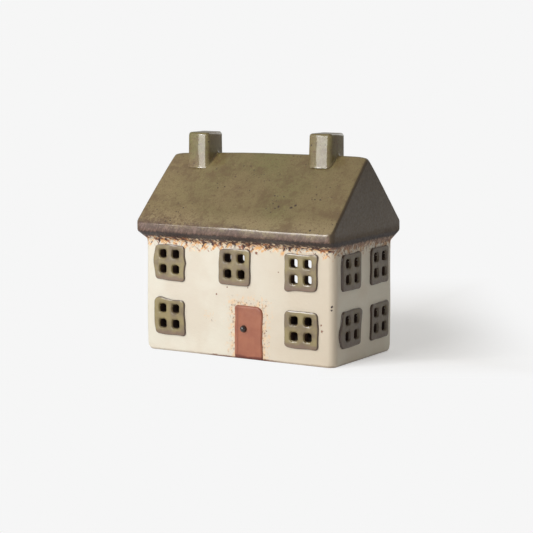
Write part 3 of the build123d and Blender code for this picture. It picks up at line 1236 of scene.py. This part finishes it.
@dataclass
class WindowFrame:
    """One raised window frame round four panes, its edges drawn out by the brush."""

    palette: Palette
    node: str
    side: Side
    pane_pitch: float
    pane_width: float = 5.0 * MM
    pane_height: float = 5.2 * MM
    row_pitch: float = 9.0 * MM
    pane_radius: float = 1.4 * MM
    corner_radius: float = 2.4 * MM
    drop: float = 0.6 * MM
    skirt_rise: float = 0.15 * MM
    rim: float = 0.2 * MM
    chamfer_width: float = 0.45 * MM
    chamfer_drop: float = 0.2 * MM
    wobble: float = 0.2 * MM
    wobble_span: float = 7 * MM
    edge_width: float = 0.75 * MM
    still_share: float = 0.72
    crisp_degrees: float = 18.0
    step: float = 0.9 * MM
    nudges: tuple[Nudge, ...] = ()

    def build(self) -> bpy.types.Object:
        """Make the frame and set it on its wall.

        Returns:
            The frame's object.
        """
        low, high = box_of(self.node)
        middle = (low + high) / 2
        outward = self.side.outward
        half = (high - low) / 2
        across = max(half.x, half.y)
        height = half.z
        centre = middle - outward * abs(half.dot(outward))
        thickness = 2 * abs(half.dot(outward))
        bm = self.plate(across, height)
        self.mould(bm, across, height, thickness)
        self.store_places(bm, across, height)
        self.draw_out(bm, across, height, centre)
        bm.transform(self.side.placing(centre))
        HAND.apply(bm)
        return set_down(bm, f"{self.node}_frame", self.node, [self.palette.window],
                        sharp_degrees=self.crisp_degrees)

    def plate(self, across: float, height: float) -> BMesh:
        """Start from a flat grid of five by five, take the panes out and round the corners.

        Args:
            across: half the frame's width.
            height: half its height.

        Returns:
            The flat plate.
        """
        bm = bmesh.new()
        bmesh.ops.create_grid(bm, x_segments=5, y_segments=5, size=0.5)
        inner = self.pane_pitch / 2 - self.pane_width / 2
        outer = self.pane_pitch / 2 + self.pane_width / 2
        columns = (-across, -outer, -inner, inner, outer, across)
        inner = self.row_pitch / 2 - self.pane_height / 2
        outer = self.row_pitch / 2 + self.pane_height / 2
        rows = [self.drop + value for value in (-outer, -inner, inner, outer)]
        rows = [-height, *rows, height]
        for vert in bm.verts:
            column, row = (round((value + 0.5) * 5) for value in vert.co.xy)
            vert.co.xy = columns[column], rows[row]
        centres = [(x, y) for x in (-1, 1) for y in (-1, 1)]
        panes = [face for face in bm.faces if self.is_pane(face, centres)]
        inside = list({vert for face in panes for vert in face.verts})
        outside = [vert for vert in bm.verts if len(vert.link_faces) == 1]
        bmesh.ops.delete(bm, geom=panes, context="FACES")
        for corners, radius in ((inside, self.pane_radius), (outside, self.corner_radius)):
            bmesh.ops.bevel(bm, geom=corners, offset=radius, offset_type="OFFSET", segments=5, profile=0.5,
                            affect="VERTICES", material=-1, clamp_overlap=True)
        return bm

    def is_pane(self, face: bmesh.types.BMFace, centres: list[tuple[int, int]]) -> bool:
        """Tell whether a face of the grid is one of the four panes.

        Args:
            face: the face.
            centres: the panes' columns and rows, each -1 or 1.

        Returns:
            True for a pane.
        """
        place = face.calc_center_median()
        spots = [(x * self.pane_pitch / 2, self.drop + y * self.row_pitch / 2) for x, y in centres]
        return any(math.dist(place.xy, spot) < self.pane_width / 4 for spot in spots)

    def mould(self, bm: BMesh, across: float, height: float, thickness: float) -> None:
        """Raise the plate into a frame whose bars are flat, with a chamfer along every edge.

        Args:
            bm: the flat plate.
            across: half the frame's width.
            height: half its height.
            thickness: the frame's whole thickness.
        """
        top = lift_plate(bm, self.skirt_rise)
        for ring in (self.rim, self.chamfer_width):
            bmesh.ops.inset_region(bm, faces=top, use_even_offset=True, use_boundary=True, thickness=ring)
        bmesh.ops.recalc_face_normals(bm, faces=bm.faces[:])
        bmesh.ops.triangulate(bm, faces=bm.faces[:])
        cut_lattice(bm, self.step, "XY")
        for vert in bm.verts:
            if vert.co.z > self.skirt_rise / 2:
                depth = self.depth_in(vert.co, across, height)
                edge = min(1.0, max(0.0, depth / self.rim))
                slope = min(1.0, max(0.0, (depth - self.rim) / self.chamfer_width))
                shoulder = thickness - self.chamfer_drop - self.skirt_rise
                vert.co.z = self.skirt_rise + shoulder * edge + self.chamfer_drop * slope

    def depth_in(self, place: Vector, across: float, height: float) -> float:
        """Measure how far a point lies from the nearest edge of the frame.

        Args:
            place: a point of the flat plate.
            across: half the frame's width.
            height: half its height.

        Returns:
            The distance to the outline or to a pane, whichever is nearer.
        """
        nearest = -outside_of(place.x, place.y, across, height, self.corner_radius)
        for x in (-self.pane_pitch / 2, self.pane_pitch / 2):
            for y in (-self.row_pitch / 2, self.row_pitch / 2):
                pane = outside_of(place.x - x, place.y - self.drop - y, self.pane_width / 2,
                                  self.pane_height / 2, self.pane_radius)
                nearest = min(nearest, pane)
        return nearest

    def store_places(self, bm: BMesh, across: float, height: float) -> None:
        """Keep how far in from the outline and how low each vertex lies, where the glaze thins and browns.

        Args:
            bm: the frame's mesh, flat.
            across: half the frame's width.
            height: half its height.
        """
        inward = bm.verts.layers.float.new("inward")
        lower = bm.verts.layers.float.new("lower")
        for vert in bm.verts:
            depth = -outside_of(vert.co.x, vert.co.y, across, height, self.corner_radius)
            vert[inward] = min(1.0, max(0.0, depth / self.edge_width))
            vert[lower] = (1 - vert.co.y / height) / 2

    def draw_out(self, bm: BMesh, across: float, height: float, centre: Vector) -> None:
        """Make the frame's outline waver, and leave its panes where they are.

        Args:
            bm: the frame's mesh, flat.
            across: half the frame's width.
            height: half its height.
            centre: the frame's place, so that no two frames waver alike.
        """
        for vert in bm.verts:
            reach = max(abs(vert.co.x) / across, abs(vert.co.y) / height)
            share = min(1.0, max(0.0, (reach - self.still_share) / (1 - self.still_share)))
            place = vert.co / self.wobble_span + centre / MM
            place.z = centre.length / MM
            move = noise.noise_vector(place) * self.wobble * 2
            for nudge in self.nudges:
                move += nudge.move_at(vert.co.x / across, vert.co.y / height)
            vert.co.x += move.x * share
            vert.co.y += move.y * share


@dataclass
class FrontDoor:
    """The door's slip-coated panel and its black knob."""

    palette: Palette
    hinge_corner: float = 2.0 * MM
    latch_corner: float = 4.2 * MM
    skirt_rise: float = 0.12 * MM
    reach_down: float = 1.5 * MM
    foot_radius: float = 1.8 * MM
    groove_inset: float = 2.3 * MM
    groove_half: float = 0.7 * MM
    groove_depth: float = 0.3 * MM
    step: float = 1.0 * MM
    wobble: float = 0.5 * MM
    wobble_span: float = 6 * MM
    edge_steps: tuple[tuple[float, float], ...] = ((0.2 * MM, 0.5), (0.35 * MM, 0.35), (0.6 * MM, 0.15))
    bead_outline: tuple[tuple[float, float], ...] = ((0.0, 1.0), (0.35, 0.97), (0.65, 0.84), (0.88, 0.6),
                                                     (1.0, 0.3), (0.97, 0.12))
    root_share: float = 0.2
    collar: float = 0.15 * MM
    bead_share: float = 0.93
    bead_shift: Vector = field(default_factory=lambda: Vector((0.5, 0, 0.3)) * MM)
    around: int = 32

    def build(self) -> None:
        """Make the panel and the knob."""
        self.panel()
        self.knob()

    def panel(self) -> bpy.types.Object:
        """Make the panel, which follows the wall's rounded foot.

        Returns:
            The panel's object.
        """
        low, high = box_of("door")
        thickness = high.y - low.y
        centre = Vector(((low.x + high.x) / 2, high.y, (low.z + high.z) / 2))
        half = Vector(((high.x - low.x) / 2, (high.z - low.z) / 2, 0))
        bm = self.outline(half)
        self.raise_face(bm, thickness)
        layer = bm.verts.layers.float.new("rise")
        for vert in bm.verts:
            vert[layer] = vert.co.z / thickness
            self.groove(vert, half)
            place = vert.co / self.wobble_span
            place.z = 0
            move = noise.noise_vector(place) * self.wobble
            vert.co.x += move.x
            self.follow_foot(vert, vert.co.y + centre.z)
        bm.transform(Side.FRONT.placing(centre))
        HAND.apply(bm)
        return set_down(bm, "door_panel", "door", [self.palette.door], sharp_degrees=60)

    def outline(self, half: Vector) -> BMesh:
        """Draw the panel flat, its upper corners rounded and its foot drawn down.

        Args:
            half: half the panel's width and height.

        Returns:
            The flat panel.
        """
        bm = bmesh.new()
        bmesh.ops.create_grid(bm, x_segments=1, y_segments=1, size=1)
        for vert in bm.verts:
            vert.co = vert.co * half
        upper = [vert for vert in bm.verts if vert.co.y > 0]
        for vert in bm.verts:
            if vert.co.y < 0:
                vert.co.y -= self.reach_down
        upper.sort(key=lambda vert: vert.co.x)
        for corner, radius in zip(upper, (self.hinge_corner, self.latch_corner)):
            bmesh.ops.bevel(bm, geom=[corner], offset=radius, offset_type="OFFSET", segments=6, profile=0.5,
                            affect="VERTICES", material=-1)
        return bm

    def raise_face(self, bm: BMesh, thickness: float) -> None:
        """Raise the flat panel in steps that round its edges, and cut its face finely.

        Args:
            bm: the flat panel.
            thickness: the panel's whole thickness.
        """
        top = lift_plate(bm, self.skirt_rise)
        climb = thickness - self.skirt_rise
        for inset, share in self.edge_steps:
            bmesh.ops.inset_region(bm, faces=top, use_even_offset=True, use_boundary=True, thickness=inset,
                                   depth=climb * share)
        bmesh.ops.recalc_face_normals(bm, faces=bm.faces[:])
        bmesh.ops.triangulate(bm, faces=bm.faces[:])
        cut_lattice(bm, self.step, "XY")

    def follow_foot(self, vert: bmesh.types.BMVert, height: float) -> None:
        """Bend the panel's lower end in along the wall's rounded foot.

        Args:
            vert: a vertex of the panel, still flat.
            height: its height over the floor.
        """
        if height < self.foot_radius:
            drop = self.foot_radius - height
            vert.co.z -= self.foot_radius - math.sqrt(max(0.0, self.foot_radius ** 2 - drop ** 2))

    def groove(self, vert: bmesh.types.BMVert, half: Vector) -> None:
        """Press a shallow groove into the panel beside its hinge edge.

        Args:
            vert: a vertex of the panel.
            half: half the panel's width and height.
        """
        away = abs(vert.co.x + half.x - self.groove_inset) / self.groove_half
        end = min(1.0, max(0.0, (half.y - vert.co.y) / self.hinge_corner - 0.6))
        if vert.co.z > self.skirt_rise * 2:
            vert.co.z -= self.groove_depth * math.exp(-away * away) * end

    def knob(self) -> bpy.types.Object:
        """Spin the knob: a domed bead on a small collar of glaze.

        Returns:
            The knob's object.
        """
        low, high = box_of("door_knob")
        seat = box_of("door")[0].y
        centre = Vector(((low.x + high.x) / 2, seat, (low.z + high.z) / 2)) + self.bead_shift
        radius = self.bead_share * (high.x - low.x) / 2
        height = seat - low.y
        bm = bmesh.new()
        outer = radius + self.collar
        root = -self.root_share * height
        profile = [(across * radius, up * height) for across, up in self.bead_outline]
        profile += [(outer, 0.0), (outer, root), (0.0, root)]
        spin_profile(bm, profile, self.around)
        bm.transform(Side.FRONT.placing(centre))
        HAND.apply(bm)
        return set_down(bm, "door_knob_bead", "door_knob", [self.palette.knob], sharp_degrees=70)


def spin_profile(bm: BMesh, profile: list[tuple[float, float]], steps: int) -> None:
    """Turn a profile of radius and height about the Z axis into a closed shape.

    Args:
        bm: an empty mesh to fill.
        profile: the outline from the axis round to the axis again.
        steps: how many steps make the turn.
    """
    verts = [bm.verts.new((radius, 0, height)) for radius, height in profile]
    edges = [bm.edges.new(pair) for pair in zip(verts, verts[1:])]
    bmesh.ops.spin(bm, geom=verts + edges, cent=(0, 0, 0), axis=(0, 0, 1), angle=math.tau, steps=steps,
                   use_merge=True)
    bmesh.ops.remove_doubles(bm, verts=bm.verts[:], dist=WELD)
    bmesh.ops.recalc_face_normals(bm, faces=bm.faces[:])


@dataclass
class Tealight:
    """The candle: a ribbed foil cup, its wax, a wick and the tab that holds it."""

    palette: Palette
    around: int = 192
    ribs: int = 48
    rib_depth: float = 0.12 * MM
    foil: float = 0.3 * MM
    bead: float = 0.35 * MM
    wick_sides: int = 18
    wick_steps: int = 40
    wick_lobes: int = 3
    wick_twist: float = 9.0
    wick_lean: float = 1.0 * MM

    def build(self) -> None:
        """Make the four pieces."""
        low, high = box_of("tealight_cup")
        self.axis = Vector(((low.x + high.x) / 2, (low.y + high.y) / 2, 0))
        self.floor = low.z
        self.radius = (high.x - low.x) / 2
        self.rim = high.z - low.z
        self.cup()
        self.wax()
        self.tab()
        self.wick()

    def stand(self, bm: BMesh) -> None:
        """Move a shape that was turned about the Z axis to the candle's place."""
        bmesh.ops.translate(bm, verts=bm.verts[:], vec=self.axis + Vector((0, 0, self.floor)))

    def cup(self) -> bpy.types.Object:
        """Press the cup: a ribbed wall, a rolled rim and a stepped bottom.

        Returns:
            The cup's object.
        """
        outer, rim, foil, bead = self.radius - self.rib_depth, self.rim, self.foil, self.bead
        profile = [(0, bead), (0.72 * outer, bead), (0.76 * outer, 0), (0.94 * outer, 0),
                   (0.985 * outer, bead), (outer, 3 * bead), (outer, 0.5 * rim), (outer, rim - 3 * bead),
                   (outer + bead / 3, rim - 1.5 * bead), (outer + bead / 3, rim - bead / 2), (outer, rim),
                   (outer - bead, rim - bead / 2),
                   (outer - foil, rim - 3 * bead), (outer - foil, 3 * bead), (0.94 * outer, bead + foil),
                   (0, bead + foil)]
        bm = bmesh.new()
        spin_profile(bm, profile, self.around)
        for vert in bm.verts:
            angle = math.atan2(vert.co.y, vert.co.x)
            share = min(1.0, max(0.0, (vert.co.z - 2 * bead) / bead)) * (vert.co.z < rim - 2 * bead)
            flat = Vector((vert.co.x, vert.co.y, 0))
            if flat.length > 0.9 * outer:
                vert.co += flat.normalized() * (self.rib_depth * share * math.cos(self.ribs * angle))
        self.stand(bm)
        return set_down(bm, "tealight_foil_cup", "tealight_cup", [self.palette.foil],
                        Body.TEALIGHT)

    def wax(self) -> bpy.types.Object:
        """Pour the wax, which creeps up at the cup and dips at the wick.

        Returns:
            The wax's object.
        """
        low, high = box_of("tealight_wax")
        radius = (high.x - low.x) / 2 - self.rib_depth * 2
        bottom, top = low.z - self.floor + self.bead, high.z - self.floor
        dip = [(0, top - 0.5 * MM), (1.2 * MM, top - 0.25 * MM), (3 * MM, top - 0.05 * MM)]
        creep = [(0.86 * radius, top), (0.96 * radius, top + 0.2 * MM), (radius, top + 0.7 * MM)]
        profile = [*dip, (0.5 * radius, top), *creep, (radius, bottom), (0, bottom)]
        bm = bmesh.new()
        spin_profile(bm, profile, self.around // 3)
        self.stand(bm)
        return set_down(bm, "tealight_wax_fill", "tealight_wax", [self.palette.wax],
                        Body.TEALIGHT)

    def tab(self) -> bpy.types.Object:
        """Stamp the steel tab, a disc with a collar, which the wax hides.

        Returns:
            The tab's object.
        """
        low, high = box_of("wick_tab")
        radius = (high.x - low.x) / 2
        bottom, top = low.z - self.floor + self.bead, high.z - self.floor
        disc = bottom + 0.5 * MM
        collar = [(0, top), (1.2 * MM, top), (1.6 * MM, disc + 0.6 * MM), (2.2 * MM, disc)]
        rim = [(radius - 0.2 * MM, disc), (radius, disc - 0.2 * MM), (radius, bottom), (0, bottom)]
        profile = collar + rim
        bm = bmesh.new()
        spin_profile(bm, profile, self.around // 4)
        self.stand(bm)
        return set_down(bm, "wick_tab_plate", "wick_tab", [self.palette.tin], Body.TEALIGHT)

    def wick(self) -> bpy.types.Object:
        """Twist the wick: a lobed section drawn up and turned, leaning a little at its tip.

        Returns:
            The wick's object.
        """
        low, high = box_of("tealight_wick")
        radius = (high.x - low.x) / 2
        bottom, top = low.z - self.floor, high.z - self.floor
        bm = bmesh.new()
        ring = bmesh.ops.create_circle(bm, cap_ends=True, segments=self.wick_sides, radius=radius)["verts"]
        for vert in ring:
            angle = math.atan2(vert.co.y, vert.co.x)
            vert.co *= 0.82 + 0.18 * math.cos(self.wick_lobes * angle)
            vert.co.z = bottom
        bm.faces.ensure_lookup_table()
        face = bm.faces[0]
        rise = (top - bottom) / self.wick_steps
        for index in range(self.wick_steps):
            face = bmesh.ops.extrude_discrete_faces(bm, faces=[face])["faces"][0]
            share = (index + 1) / self.wick_steps
            lean = self.wick_lean * (3 * share * share / self.wick_steps)
            middle = face.calc_center_median()
            bmesh.ops.rotate(bm, verts=face.verts[:], cent=middle, matrix=Matrix.Rotation(
                math.tau * self.wick_twist / self.wick_steps / self.wick_lobes, 3, "Z"))
            bmesh.ops.translate(bm, verts=face.verts[:], vec=(lean, lean / 2, rise))
        bmesh.ops.recalc_face_normals(bm, faces=bm.faces[:])
        self.stand(bm)
        return set_down(bm, "tealight_cotton_wick", "tealight_wick", [self.palette.cotton],
                        Body.TEALIGHT)


def windows(palette: Palette) -> Iterator[WindowFrame]:
    """Give every window of the house.

    Args:
        palette: the finishes.

    Yields:
        Each window, with its wall and the pitch of its panes.
    """
    pitches = {Side.FRONT: 8.9 * MM, Side.REAR: 8.9 * MM, Side.LEFT: 9.7 * MM, Side.RIGHT: 9.7 * MM}
    for node in sorted(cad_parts):
        if "_window_" in node:
            side = Side(node.split("_")[0])
            yield WindowFrame(palette, node, side, pitches[side], nudges=NUDGES.get(node, ()))


@dataclass(frozen=True)
class Softbox:
    """One soft lamp that stands round the house, its azimuth counted from the front towards the right."""

    name: str
    azimuth: float
    distance: float
    height: float
    size: tuple[float, float]
    power: float

    def stand(self, aim_height: float) -> None:
        """Stand the lamp and turn it to the house.

        Args:
            aim_height: the height over the floor that it faces.
        """
        data = bpy.data.lights.new(self.name, "AREA")
        data.shape = "RECTANGLE"
        data.size, data.size_y = self.size
        data.energy = self.power
        lamp = bpy.data.objects.new(self.name, data)
        turn = math.radians(self.azimuth)
        lamp.location = (self.distance * math.sin(turn), -self.distance * math.cos(turn), self.height)
        aim = Vector((0, 0, aim_height)) - lamp.location
        lamp.rotation_euler = aim.to_track_quat("-Z", "Y").to_euler()
        bpy.context.scene.collection.objects.link(lamp)


@dataclass
class Studio:
    """A pale floor, soft light and the camera that stands where the photograph was taken."""

    eye: Vector = field(default_factory=lambda: Vector((521.6, -861.9, 182.0)) * MM)
    look: Vector = field(default_factory=lambda: Vector((-0.5143, 0.8476, -0.1309)))
    focal_px: float = 1739.9
    image_px: float = 533.0
    sensor: float = 36.0
    floor_size: float = 6.0
    floor_colour: tuple = srgb(236, 236, 236)
    backdrop: tuple = srgb(246, 246, 246)
    glow: float = 0.33
    ambient: float = 0.3
    ambient_tint: tuple = (1.0, 0.965, 0.9, 1.0)
    aim_height: float = 60 * MM
    shadow_left_mm: tuple[float, float] = (48.0, 26.0)
    shadow_right_mm: tuple[float, float] = (92.0, 175.0)
    shadow_back_mm: tuple[float, float] = (120.0, 320.0)
    shadow_front_mm: tuple[float, float] = (-20.0, -90.0)
    softboxes: tuple[Softbox, ...] = (Softbox("key", -16.0, 1.0, 0.42, (0.62, 0.8), 8.3),
                                      Softbox("glint", -33.7, 0.9, 0.69, (0.2, 0.32), 2.0),
                                      Softbox("rear_fill", 174.0, 1.0, 0.6, (0.6, 0.8), 1.9))

    def build(self) -> None:
        """Set the stage."""
        bpy.context.scene.view_settings.view_transform = "Standard"
        self.camera()
        self.floor()
        self.world()
        for softbox in self.softboxes:
            softbox.stand(self.aim_height)

    def camera(self) -> None:
        """Stand the camera at the photograph's viewpoint."""
        data = bpy.data.cameras.new("camera")
        data.sensor_width = self.sensor
        data.lens = self.focal_px / self.image_px * self.sensor
        camera = bpy.data.objects.new("camera", data)
        camera.location = self.eye
        camera.rotation_euler = self.look.to_track_quat("-Z", "Y").to_euler()
        bpy.context.scene.collection.objects.link(camera)
        bpy.context.scene.camera = camera

    def floor(self) -> None:
        """Lay a wide pale floor that keeps the shadow near the house and fades into the backdrop."""
        bm = bmesh.new()
        bmesh.ops.create_grid(bm, x_segments=8, y_segments=8, size=self.floor_size / 2)
        mesh = bpy.data.meshes.new("floor")
        bm.to_mesh(mesh)
        bm.free()
        floor = bpy.data.objects.new("floor", mesh)
        bpy.context.scene.collection.objects.link(floor)
        mesh.materials.append(self.floor_material())

    def floor_material(self) -> Material:
        """Mix the floor: matt and pale, with a little glow for the camera that makes it a white sweep.

        Returns:
            The floor's material.
        """
        bench = GlazeBench("floor")
        bench.tree.nodes.remove(bench.shader)
        matt = bench.add("ShaderNodeBsdfDiffuse")
        matt.inputs["Color"].default_value = self.floor_colour
        glow = bench.add("ShaderNodeEmission")
        glow.inputs["Color"].default_value = self.backdrop
        rays = bench.add("ShaderNodeLightPath")
        seen = bench.maths("MAXIMUM", rays.outputs["Is Camera Ray"], rays.outputs["Is Transmission Ray"])
        far = self.beyond_shadow(bench)
        bench.link(bench.times(seen, self.glow), glow.inputs["Strength"])
        near = bench.add("ShaderNodeAddShader")
        bench.link(matt.outputs[0], near.inputs[0])
        bench.link(glow.outputs[0], near.inputs[1])
        sweep = bench.add("ShaderNodeEmission")
        sweep.inputs["Color"].default_value = self.backdrop
        mix = bench.add("ShaderNodeMixShader")
        bench.link(bench.times(far, seen), mix.inputs[0])
        bench.link(near.outputs[0], mix.inputs[1])
        bench.link(sweep.outputs[0], mix.inputs[2])
        bench.link(mix.outputs[0], bench.tree.nodes["Material Output"].inputs["Surface"])
        return bench.material

    def beyond_shadow(self, bench: GlazeBench) -> Socket:
        """Mark where the floor is plain backdrop, past the shadow that falls beside the house.

        Args:
            bench: the floor's node tree.

        Returns:
            The mask's socket, 0 in the shadow's patch and 1 beyond it.
        """
        turn = math.atan2(self.look.x, self.look.y)
        split = bench.add("ShaderNodeSeparateXYZ")
        bench.link(bench.stretched((1.0, 1.0, 1.0), (0.0, 0.0, -turn)), split.inputs[0])
        beside, behind = split.outputs[0], split.outputs[1]
        left = bench.ramp(beside, *self.shadow_left_mm)
        right = bench.ramp(beside, *self.shadow_right_mm)
        back = bench.ramp(behind, *self.shadow_back_mm)
        front = bench.ramp(behind, *self.shadow_front_mm)
        sides = bench.maths("MAXIMUM", left, right)
        return bench.maths("MAXIMUM", sides, bench.maths("MAXIMUM", back, front))

    def world(self) -> None:
        """Fill the room with even light, behind a white backdrop."""
        world = bpy.data.worlds.new("studio")
        bpy.context.scene.world = world
        world.use_nodes = True
        tree = world.node_tree
        plain = tree.nodes["Background"]
        plain.inputs["Strength"].default_value = self.ambient
        plain.inputs["Color"].default_value = self.ambient_tint
        seen = tree.nodes.new("ShaderNodeBackground")
        seen.inputs["Color"].default_value = self.backdrop
        rays = tree.nodes.new("ShaderNodeLightPath")
        mix = tree.nodes.new("ShaderNodeMixShader")
        tree.links.new(rays.outputs["Is Camera Ray"], mix.inputs[0])
        tree.links.new(plain.outputs[0], mix.inputs[1])
        tree.links.new(seen.outputs[0], mix.inputs[2])
        tree.links.new(mix.outputs[0], tree.nodes["World Output"].inputs["Surface"])


def main() -> None:
    """Build the house, the candle and the studio in order."""
    logging.basicConfig(level=logging.INFO)
    noise.seed_set(CLAY_SEED)
    palette = Palette()
    ClayShell(palette).build()
    ChimneyStacks(palette).build()
    for window in windows(palette):
        window.build()
    FrontDoor(palette).build()
    Tealight(palette).build()
    Studio().build()


if __name__ == "__main__":
    main()
